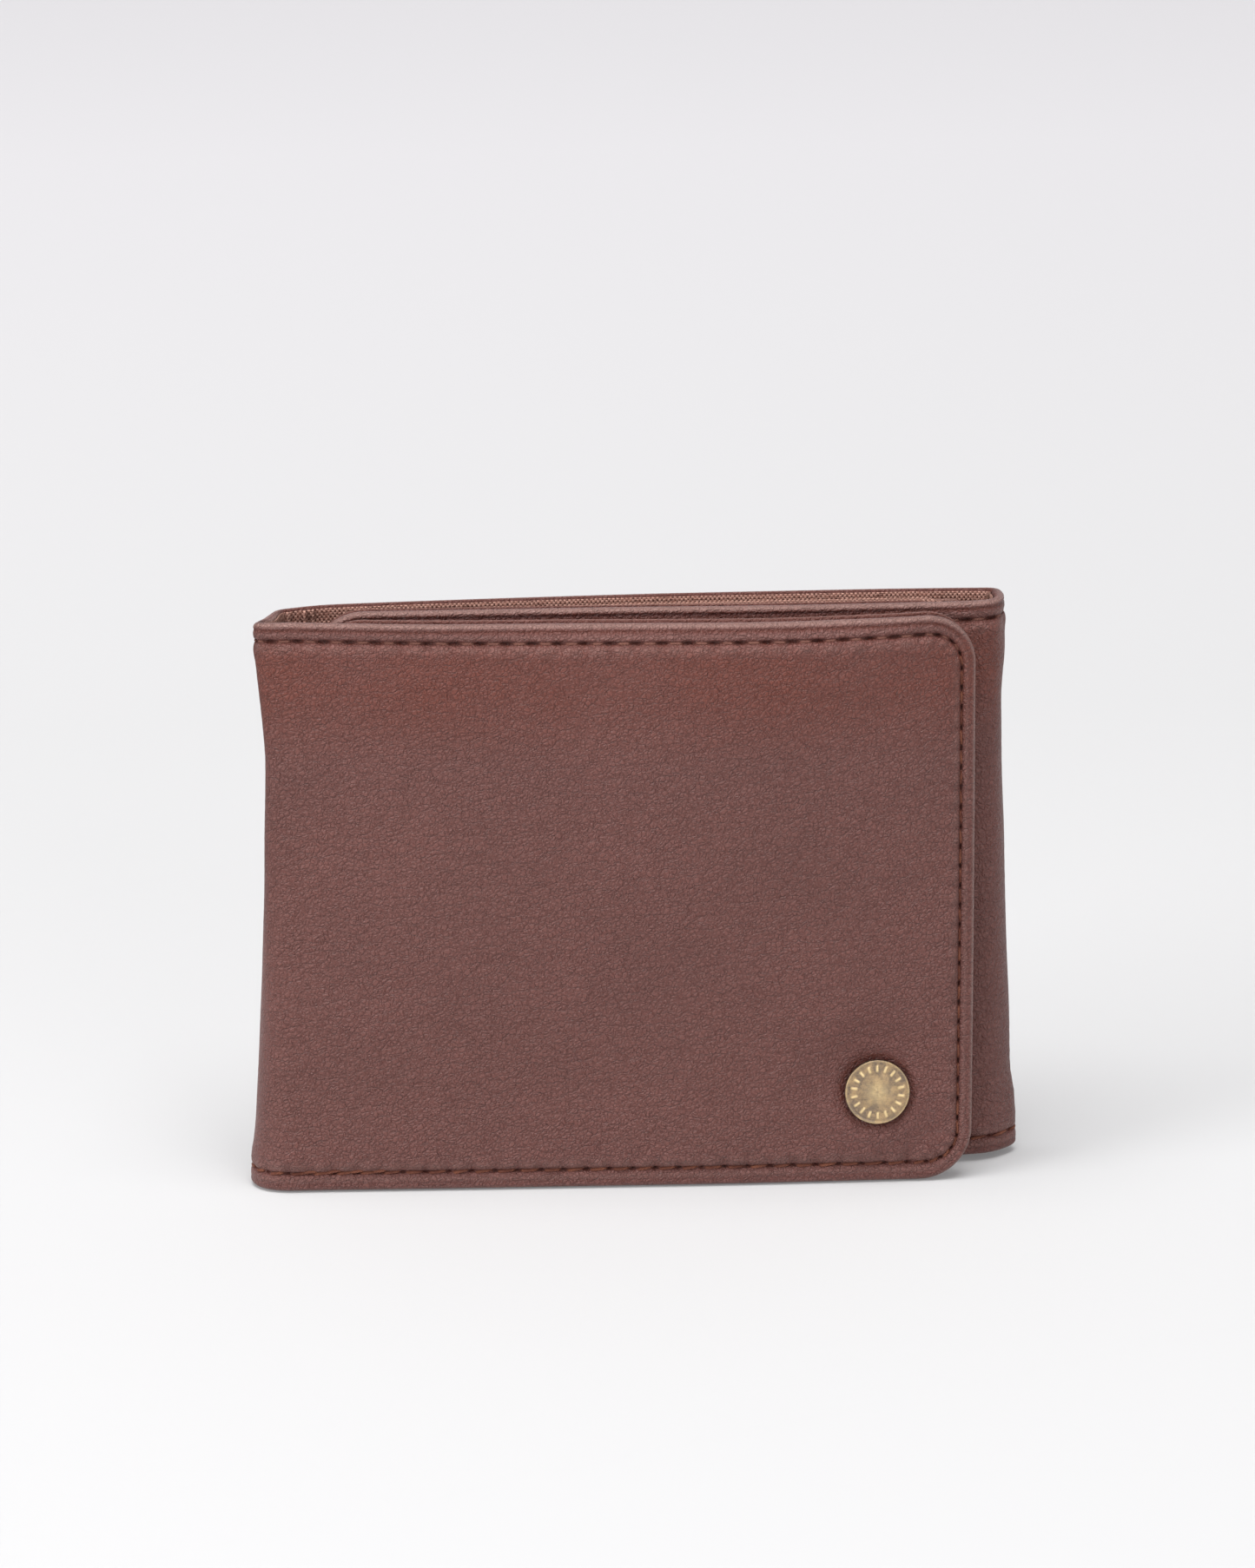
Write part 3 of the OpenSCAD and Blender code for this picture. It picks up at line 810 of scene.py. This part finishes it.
shell = slab("shell", SHELL, SHELL_FACE, SHELL_REAR, 1.3, OUTER, shell_relief, shell_tone,
             rivet_rings(), (np.array([RIVET_S, RIVET_Z]), RIVET_R + 3.9), seam=shell_seam,
             shift=shell_shift, stretch=edge_stretch)
shell_front, shell_rear = cut_at(shell, "outer_leather_front", "outer_leather_rear", S_SPLIT)
for piece, nodes, bend in (
    (shell_front, ("front_shell", "left_fold", "centre_shell"), bend_front),
    (shell_rear, ("inner_shell", "right_fold"), bend_rear),
):
    bend(piece)
    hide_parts(*nodes)


# ---- Thin leaves: linings, panels, pockets ----
def leaf(name, s0, s1, z0, z1, h0, h1, material, r=3.2, step=1.1, spacing=2.6, notch=0.0,
         crease=False, relief=None, extra=None, tone=None, shift=None, drop=None, seam=0.2):
    """A thin layer from depth h0, on the outer side, to h1. A creased leaf has a pressed
    line round its visible side."""
    thick = h1 - h0
    edge = min(0.25, thick / 2)
    visible = [(0.0, (h0 + h1) / 2), (0.3 * edge, h1 - 0.3 * edge), (edge, h1 - 0.05 * edge),
               (edge + 0.3, h1), (1.3, h1), (1.55, h1 - 0.02), (1.75, h1), (2.6, h1)]
    hidden = [(0.0, (h0 + h1) / 2), (0.3 * edge, h0 + 0.3 * edge), (edge, h0 + 0.05 * edge),
              (1.0, h0), (2.6, h0)]
    if crease:
        visible[5] = (1.55, h1 - min(0.14, 0.4 * thick))
    outline = rounded_outline(s0, s1, z0, z1, r, step, notch)
    if drop:
        outline[0][:, 1] -= drop(outline[0][:, 0], outline[0][:, 1])

    def leaf_tone(s, z, inset, run):
        line = -0.6 * hump(inset, 1.55, 0.22) if crease else 0
        return line + 0.55 * hump(inset, 0, 0.35)

    return slab(name, outline, visible, hidden, spacing, material, relief, tone or leaf_tone,
                extra, (np.zeros(2), 0), seam, shift)


PANELS = {
    # body: (near its fold, its free end) along the strip
    "front": (S_LEFT, 0.0),
    "centre": (S_BACK, S_RIGHT),
    "inner": (S_INNER, S_END),
}
BODY = {"front": "front_flap", "centre": "centre", "inner": "inner_flap"}


def span(panel, near, far):
    """The stretch of the strip from near millimetres off the fold to far off the end."""
    fold, end = PANELS[panel]
    way = 1 if end > fold else -1
    return sorted((fold + way * near, end - way * far))


def rides(piece, panel, slot, *nodes):
    """The piece moves with its panel's body, and stands for the CAD nodes, if any."""
    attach(piece, BODY[panel])
    if nodes:
        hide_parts(*nodes)
    return piece


# The outer lining is one woven strip inside the leather, in the same two pieces. It covers
# the turned edge almost to the rim, and stands in three creases beside the left fold.
LINING_INSET = 0.3
LINING_H = (2.03, 2.26)
CREASES = (S_BACK + 0.4, S_BACK + 2.5, S_BACK + 3.9)
CREASE_LIFT = (0.5, 0.85, 0.8)


def crease_lines(s, z):
    """How far each place is from each standing crease."""
    return [s - (at + 0.3 * np.sin(z * 0.21 + 2 * k)) for k, at in enumerate(CREASES)]


def lining_relief(s, z, inset, run):
    """Standing creases near the left fold, slack between stitches, and soft waves."""
    lift = 0.05 * ripple(s, z, 6, 31)
    for off, height in zip(crease_lines(s, z), CREASE_LIFT):
        lift = lift + height * hump(off, 0, 0.36)
    return lift


def lining_tone(s, z, inset, run):
    """Painted highlight on the creases' crests and painted shade in their valleys; pale at the cut
    edge.
    """
    tone = 0.2 * hump(inset, 0, 0.3)
    for off in crease_lines(s, z):
        # Painted highlight on each crest, painted shade in the valleys beside it.
        tone = tone + 0.6 * hump(off, 0, 0.3)
        tone = tone - 0.9 * hump(np.abs(off), 0.62, 0.2)
    return tone


def lining_shift(s, z, inset, depth, on_face):
    """The lining follows the back panel's thinner rim."""
    return -0.5 * rim_thinness(s, z) * fall(inset, 1.5, 5)


def lining_drop(s, z):
    """Where a flap's inner leather covers it, the lining stops lower."""
    behind = fall(s, S_LEFT - 7, S_LEFT - 3) + smooth(s, S_INNER + 1, S_INNER + 5)
    return 0.7 * behind * smooth(z, HEIGHT - 20, HEIGHT - 5)


def crease_points():
    """Finer points in the lining beside the left fold."""
    s, z = np.meshgrid(np.arange(CREASES[0] - 2, CREASES[-1] + 2, 0.3),
                       np.arange(4, HEIGHT - 4, 1.3))
    return np.column_stack([s.ravel() + 0.05 * np.sin(7 * z.ravel()), z.ravel()])


lining = leaf("lining_strip", LINING_INSET, S_END - LINING_INSET, LINING_INSET,
              HEIGHT - LINING_INSET, *LINING_H, LINING, r=CORNER_R - LINING_INSET, step=0.4,
              spacing=1.7, relief=lining_relief, extra=crease_points(), tone=lining_tone,
              shift=lining_shift, drop=lining_drop)
lining_front, lining_rear = cut_at(lining, "lining_front", "lining_rear", S_SPLIT)


def frayed_ends(name, count):
    """Loose thread ends that stand out of the lining's cut edge inside the right fold."""
    rng = np.random.default_rng(17)
    flat, faces = [], []
    sides, steps = 5, 7
    for k in range(count):
        s = S_RIGHT - 2 + 9 * (k + rng.uniform(-0.5, 0.5)) / count
        h, z = 2.3 + rng.uniform(0, 1.1), HEIGHT - 1.5 + rng.uniform(-0.4, 0.4)
        reach, lean, sag = rng.uniform(0.8, 1.6), rng.uniform(-1.3, 1.3), rng.uniform(0.1, 0.7)
        base = len(flat)
        for j in range(steps):
            t = j / (steps - 1)
            girth = 0.1 * (1 - 0.5 * t)
            for a in np.arange(sides) * math.tau / sides:
                flat.append((s + lean * t * t + girth * math.cos(a), z + reach * t - sag * t * t,
                             h + sag * t * t + girth * math.sin(a)))
        for j in range(base, base + (steps - 1) * sides, sides):
            faces.extend(band(j, j + sides, sides))
        faces.append(tuple(base + i for i in range(sides))[::-1])
        faces.append(tuple(base + (steps - 1) * sides + i for i in range(sides)))
    flat = np.array(flat)
    return face_outward(make_mesh(name, place(flat), faces, LINING, flat, np.full(len(flat), 0.6)))


frays = frayed_ends("lining_frayed_ends", 22)
bend_rear(frays)
for piece, nodes, bend, length, leather_piece, on_it in (
    (lining_front, ("front_lining_outer", "left_fold_lining", "centre_lining_outer"), bend_front,
     S_SPLIT - LINING_INSET, "outer_leather_front", []),
    (lining_rear, ("inner_lining", "right_fold_lining"), bend_rear,
     S_END - LINING_INSET - S_SPLIT, "outer_leather_rear", [frays]),
):
    bend(piece)
    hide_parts(*nodes)

BOARD_INSET = 2.9
BOARD_H = (1.06, 1.5)
for panel in PANELS:
    off = 3.0 if panel == "centre" else 2.7
    board = leaf(f"{panel}_stiffener", *span(panel, off, off), BOARD_INSET, HEIGHT - BOARD_INSET,
                 *BOARD_H, BOARD, r=3.4, step=2.0, spacing=5.0)
    rides(board, panel, "stiffener", f"{panel}_board")

FACING_H = {"front": (2.78, 3.55), "centre": (2.56, 3.15), "inner": (2.62, 3.05)}
FACING_NEAR = {"front": 4.0, "centre": 8.5, "inner": 4.0}
FACING_DROP = {"front": 0.0, "centre": 1.1, "inner": 0.15}
# A pocket layer with its play, the play itself, and the lowest pocket's thumb cut
POCKET_T, POCKET_GAP, THUMB_R = 0.36, 0.03, 8.0

for panel in PANELS:
    far, corner = (2.0, 3.2) if panel == "centre" else (RECESS, CORNER_R - RECESS)
    s0, s1 = span(panel, FACING_NEAR[panel], far)
    h0, h1 = FACING_H[panel]
    top = HEIGHT - FACING_DROP[panel]
    facing = leaf(f"{panel}_facing", s0, s1, RECESS, top, h0, h1, INNER, r=corner, spacing=2.2,
                  crease=True, seam=-0.5)
    rides(facing, panel, "inner_leather", f"{panel}_backing")
    if panel == "inner":
        continue
    cloth = leaf(f"{panel}_note_lining", s0 + 0.3, s1 - 0.3, RECESS, top - 0.7, h0 - 0.26,
                 h0 - 0.04, LINING, r=corner if panel == "centre" else corner - 0.3)
    rides(cloth, panel, "lining", f"{panel}_lining_inner")
    pocket_s = span(panel, FACING_NEAR[panel] + 1, 5.0)
    for k, (level, mouth) in enumerate(zip(("upper", "middle", "lower"), POCKET_TOPS)):
        pocket = leaf(f"{panel}_card_pocket_{level}", *pocket_s, RECESS, mouth,
                      h1 + POCKET_GAP + POCKET_T * k, h1 + POCKET_T * (k + 1), INNER, r=3.0,
                      notch=THUMB_R if level == "lower" else 0.0, crease=True, step=0.9)
        rides(pocket, panel, "inner_leather", f"{panel}_pocket_{level}")


# Behind the window and behind the centre's cards, a pocket wall of cloth and one of leather
# reach almost to the rim. Only their tops are made.
WALL_FOOT = 76.0
for panel, (s0, s1), low, drop in (
    ("centre", span("centre", 30.0, 6.0), 3.19, 0.75),
    ("inner", span("inner", 5.0, 34.0), 3.09, 0.4),
):
    top = HEIGHT - drop
    cloth = leaf(f"{panel}_wall_lining", s0, s1, WALL_FOOT, top, low, low + 0.24, LINING, r=3.0)
    rides(cloth, panel, "lining")
    wall = leaf(f"{panel}_wall", s0 + 0.4, s1 - 0.4, WALL_FOOT, top - 0.45, low + 0.28,
                low + 0.6, INNER, r=3.0, crease=True, seam=-0.4)
    rides(wall, panel, "inner_leather")


# ---- The identity window: a border of leather round a clear film ----
def window_frame(name, s0, s1, z0, z1, h0, h1, border, r_out, r_in, material):
    """A closed ring of leather between a round-cornered outline and its opening."""
    outer = rounded_outline(s0, s1, z0, z1, r_out, 1.0)
    count = len(outer[0])
    inner_ring = rounded_outline(s0 + border, s1 - border, z0 + border - 3, z1 - border + 3,
                                 r_in, 1.0)
    # Each outer point pairs with the opening's point at the same share of the way round.
    share = outer[2] / outer[3]
    closed = np.vstack([inner_ring[0], inner_ring[0][:1]])
    lengths = np.concatenate([inner_ring[2] / inner_ring[3], [1.0]])
    pair = np.column_stack([np.interp(share, lengths, closed[:, k]) for k in (0, 1)])
    mid = (h0 + h1) / 2
    width = np.linalg.norm(pair - outer[0], axis=1)[:, None]
    steps = [(0.0, mid), (0.08, h1 - 0.08), (0.3, h1), (1.3, h1), (1.55, h1 - 0.13), (1.8, h1),
             (3.5, h1), (-1.8, h1), (-1.55, h1 - 0.13), (-1.3, h1), (-0.3, h1), (-0.08, h1 - 0.08),
             (0.0, mid), (-0.08, h0 + 0.08), (-0.3, h0), (0.3, h0), (0.08, h0 + 0.08)]
    flat, tone = [], []
    for k, (inset, depth) in enumerate(steps):
        from_inner = inset < 0 or k == 12
        share_in = 1 + inset / width if from_inner else inset / width
        here = outer[0] + (pair - outer[0]) * share_in
        flat.append(np.column_stack([here, np.full(count, depth)]))
        dark = abs(abs(inset) - 1.55) < 0.01
        tone.append(np.full(count, -0.6 if dark else 0.35 if abs(inset) < 0.1 else 0.0))
    faces = []
    for k in range(len(steps)):
        faces.extend(band(k * count, (k + 1) % len(steps) * count, count))
    flat = np.vstack(flat)
    return face_outward(make_mesh(name, place(flat), faces, material, flat, np.concatenate(tone)))


FRAME_TOP = box_mm("inner_window_frame")[1][2]
FRAME_BORDER = 9.0
frame_s = span("inner", 5.0, 5.0)
window = window_frame("window_border", *frame_s, RECESS, FRAME_TOP, 3.24, 3.6, FRAME_BORDER,
                      3.0, 3.5, INNER)
rides(window, "inner", "inner_leather", "inner_window_frame")
film = leaf("window_sheet", frame_s[0] + 6, frame_s[1] - 6, 6.8, FRAME_TOP - 4.5, 3.07, 3.22,
            FILM, r=3.0)
rides(film, "inner", "window_film", "inner_window_film")


# ---- Stitches ----
def stitch(at, along, across, h, length, width, lift, slant):
    """One short bent stitch as a closed tube. Its ends dive into the leather."""
    t = np.linspace(-1, 1, 9)
    dive = 0.5 * np.abs(t) ** 5
    girth = np.sqrt(np.clip(1 - (np.abs(t) ** 6) * 0.8, 0.05, 1))
    angle = np.arange(8) * math.tau / 8
    points = []
    for k in range(len(t)):
        centre = at + along * t[k] * length / 2 + across * slant * t[k]
        for a in angle:
            off = across * math.cos(a) * width / 2 * girth[k]
            depth = h + lift * (dive[k] - 0.5 * math.sin(a) * girth[k] * width / 2 / 0.25)
            points.append([*(centre + off), depth])
    faces = [quad for k in range(len(t) - 1) for quad in band(k * 8, (k + 1) * 8, 8)]
    return points, faces + [list(range(8))[::-1], [(len(t) - 1) * 8 + i for i in range(8)]]


def stitch_rows(name, s_low, s_high, bend):
    """All stitches of the strip between s_low and s_high, on its face and its inside."""
    rng = np.random.default_rng(7)
    closed, outward = (np.vstack([part, part[:1]]) for part in SHELL[:2])
    all_points, all_faces, faded = [], [], []

    def lay(count, h, lift, jitter=0.0):
        where = np.interp(count, COUNTS, RUNS)
        at, out = (np.array([np.interp(where, RUNS, part[:, k]) for k in (0, 1)])
                   for part in (closed, outward))
        out /= np.linalg.norm(out)
        along = np.array([-out[1], out[0]])
        top = float(smooth(at[1], HEIGHT - CORNER_R, HEIGHT - 1))
        in_corner = (min(at[0], S_END - at[0]) <= CORNER_R
                     and min(at[1], HEIGHT - at[1]) <= CORNER_R)
        at = at - out * (STITCH_INSET * float(edge_stretch(at[0], at[1])) + jitter)
        if not s_low <= at[0] < s_high:
            return
        foot = float(fall(at[1], 3, CORNER_R))
        length = stitch_pitch(at[0], at[1]) - 0.95 - 0.95 * top + rng.uniform(-0.15, 0.15)
        length *= 0.66 if in_corner else 1.0
        made, faces = stitch(at, along, out, h + 0.1 * top, length, 0.42 + 0.06 * top + 0.12 * foot,
                             lift, 0.16 * foot + rng.uniform(-0.1, 0.1) * (1 - 0.6 * top))
        base = len(all_points)
        all_points.extend(made)
        all_faces.extend([[base + i for i in f] for f in faces])
        faded.extend([top] * len(made))

    for k in range(STITCHES):
        lay(k, 0.24, 0.5)
        # The inside shows none of the thread within the left fold.
        if not S_LEFT < np.interp(k, COUNTS, RUNS) + CORNER_R < S_BACK:
            lay(k, 2.24, -0.5)
    for k in range(STITCHES):
        # The seam's start and end are sewn over twice, at the left foot of the front flap.
        if S_LEFT - 16 < np.interp(k, COUNTS, RUNS) + CORNER_R < S_LEFT - 4:
            lay(k + 0.5, 0.2, 0.5, 0.26)
    flat = np.array(all_points)
    return bend(face_outward(make_mesh(name, place(flat), all_faces, THREAD, flat, faded)))


stitches_front = stitch_rows("stitches_front", 0, S_SPLIT, bend_front)
stitches_rear = stitch_rows("stitches_rear", S_SPLIT, S_END, bend_rear)
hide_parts("front_stitches", "centre_stitches")
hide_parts("inner_stitches")


# ---- The rivet ----
def unit(vector):
    return vector / np.linalg.norm(vector)


def near_rivet(ds, dz):
    """The outer face's place at that offset from the rivet's centre."""
    return place([[RIVET_S + ds, RIVET_Z + dz, 0.0]])[0]


RIVET_AT = near_rivet(0, 0)
RIVET_ALONG = unit(near_rivet(-0.5, 0) - near_rivet(0.5, 0))
RIVET_OUT = unit(np.cross(RIVET_ALONG, near_rivet(0, 0.5) - near_rivet(0, -0.5)))
RIVET_UP = np.cross(RIVET_OUT, RIVET_ALONG)


def lathe(name, profile, segments, relief=None, tone=None):
    """A closed turned part about the rivet's axis, from (radius, height) pairs. Height is
    outward from the leather's face. The first and last pairs have radius 0."""
    flat, shade, faces = [], [], []
    angle = np.arange(segments) * math.tau / segments
    body = profile[1:-1]
    for radius, height in body:
        lift = relief(radius, angle) if relief else 0
        flat.append(np.column_stack([radius * np.cos(angle), radius * np.sin(angle),
                                     np.full(segments, height) + lift]))
        shade.append(tone(radius, angle) if tone else np.zeros(segments))
    for k in range(len(body) - 1):
        faces.extend(band(k * segments, (k + 1) * segments, segments))
    last = len(body) * segments
    flat.append(np.array([[0, 0, profile[0][1]], [0, 0, profile[-1][1]]]))
    shade.append(np.array([0.15, 0.0]))
    faces.extend([[last, (i + 1) % segments, i] for i in range(segments)])
    tail = (len(body) - 1) * segments
    faces.extend([[last + 1, tail + i, tail + (i + 1) % segments] for i in range(segments)])
    flat = np.vstack(flat)
    points = RIVET_AT + MM * (flat[:, :1] * RIVET_ALONG + flat[:, 1:2] * RIVET_UP
                              + flat[:, 2:] * RIVET_OUT)
    return face_outward(make_mesh(name, points, faces, BRASS, flat, np.concatenate(shade)))


# A plain ring of raised ticks, and the radii of the cap's flat and of its rim's crest
TICKS = 18
TICK_RING = 3.6
CAP_FLAT_R, CAP_CREST_R = 4.3, 4.72


def tick_share(radius, angle):
    """1 in the middle of a short raised tick on the cap's ring, 0 between the ticks."""
    around = ((angle * TICKS / math.tau) % 1 - 0.5) * math.tau / TICKS * radius
    return hump(around, 0, 0.19, power=4) * hump(radius, TICK_RING, 0.5, power=6)


def cap_relief(radius, angle):
    rough = 0.012 * np.sin(3 * angle + radius * 2) + 0.01 * np.sin(7 * angle - radius * 3)
    return 0.1 * tick_share(radius, angle) + rough * (radius < CAP_FLAT_R)


def cap_tone(radius, angle):
    ring = -0.12 * hump(radius, CAP_FLAT_R, 0.1)
    # Painted highlight on the rim's crest.
    rim = 0.3 * hump(radius, CAP_CREST_R, 0.1)
    # Painted shade on the cap's side wall.
    side = -0.9 if radius > 4.86 else 0
    centre = 0.55 * hump(radius, 0, 1.6)
    return ring + rim + side + centre + 1.1 * tick_share(radius, angle)


cap_face = [(0, 0.84)] + [(r, 0.84 - 0.006 * r * r) for r in np.arange(0.3, 2.7, 0.3)]
cap_face += [(r, 0.79) for r in np.arange(2.8, 4.28, 0.085)]
cap_side = [(4.34, 0.79), (4.42, 0.79), (4.5, 0.81), (4.58, 0.84), (4.66, 0.86), (4.76, 0.84),
            (4.83, 0.86), (4.89, 0.7), (4.9, 0.5), (4.9, 0.15), (4.84, -0.02), (4.7, -0.1),
            (2.0, -0.1), (0, -0.1)]
cap = lathe("rivet_head", cap_face + cap_side, 224, cap_relief, cap_tone)
rides(cap, "front", "antique_brass", "rivet_cap")
washer = lathe("rivet_burr", [(0, -1.1), (1.15, -1.1), (1.3, -1.02), (3.3, -1.02), (3.5, -1.08),
                              (3.55, -1.2), (3.5, -1.42), (3.3, -1.5), (1.3, -1.5),
                              (1.15, -1.44), (0, -1.44)], 64)
rides(washer, "front", "antique_brass", "rivet_washer")
post = lathe("rivet_stem", [(0, -0.05), (1.0, -0.05), (1.15, -0.1), (1.15, -0.95), (1.1, -1.3),
                            (1.2, -1.5), (1.1, -1.56), (0, -1.58)], 40)
rides(post, "front", "antique_brass", "rivet_post")


# ---- Stage, light and camera, in metres ----
FLOOR_END, CURVE_R = 2.6, 1.2


def sweep(name):
    """A pale floor that curves up into a far wall. It lies just under the wallet."""
    profile = [(-4.0, 0.0), (FLOOR_END, 0.0)]
    profile += [(FLOOR_END + CURVE_R * math.sin(a), CURVE_R - CURVE_R * math.cos(a))
                for a in np.linspace(0.1, math.pi / 2, 14)]
    profile += [(FLOOR_END + CURVE_R, 5.0)]
    columns = np.linspace(-5, 5, 21)
    points = [(x, y, z - 0.0002) for y, z in profile for x in columns]
    wide = len(columns)
    faces = [[a, a + 1, a + wide + 1, a + wide]
             for row in range(len(profile) - 1) for a in range(row * wide, (row + 1) * wide - 1)]
    make_mesh(name, points, faces, backdrop("backdrop"))


def aimed(name, data, location, target):
    """A lamp or camera at location, turned to target."""
    obj = bpy.data.objects.new(name, data)
    obj.location = location
    obj.rotation_euler = (Vector(target) - Vector(location)).to_track_quat("-Z", "Y").to_euler()
    return link(obj)


def soft_light(name, location, target, size, power):
    data = bpy.data.lights.new(name, "AREA")
    data.shape, data.size, data.size_y = "RECTANGLE", *size
    data.energy = power
    aimed(name, data, location, target)


sweep("floor")
world = bpy.data.worlds.new("studio")
world.use_nodes = True
sky = world.node_tree.nodes["Background"].inputs
sky["Color"].default_value = (1.0, 0.99, 1.0, 1)
sky["Strength"].default_value = 0.44
bpy.context.scene.world = world
soft_light("overhead", (-0.15, -0.35, 1.6), (0, 0, 0), (1.3, 1.0), 30)
soft_light("left", (-1.5, -0.7, 0.6), (0, 0, 0.05), (0.9, 0.9), 20)
soft_light("front", (0.8, -1.9, 0.7), (0, 0, 0.05), (1.2, 0.9), 9)

AZIMUTH, ELEVATION, DISTANCE = math.radians(-5.3), math.radians(18.0), 1.3
# The camera looks a little above the wallet, which sits low in the picture.
AIM_UP, AIM_RIGHT = 0.0166, -0.0007

centre = Vector((0, 0, HEIGHT * MM / 2))
back_off = Vector((math.sin(AZIMUTH) * math.cos(ELEVATION),
                   -math.cos(AZIMUTH) * math.cos(ELEVATION), math.sin(ELEVATION)))
rightward = Vector((math.cos(AZIMUTH), math.sin(AZIMUTH), 0))
upward = back_off.cross(rightward)
camera_data = bpy.data.cameras.new("camera")
camera_data.lens, camera_data.sensor_width = 199.5, 36.0
camera_data.clip_start, camera_data.clip_end = 0.05, 50
bpy.context.scene.camera = aimed("camera", camera_data, centre + back_off * DISTANCE,
                                 centre + upward * AIM_UP + rightward * AIM_RIGHT)
bpy.context.scene.view_settings.view_transform = "Standard"
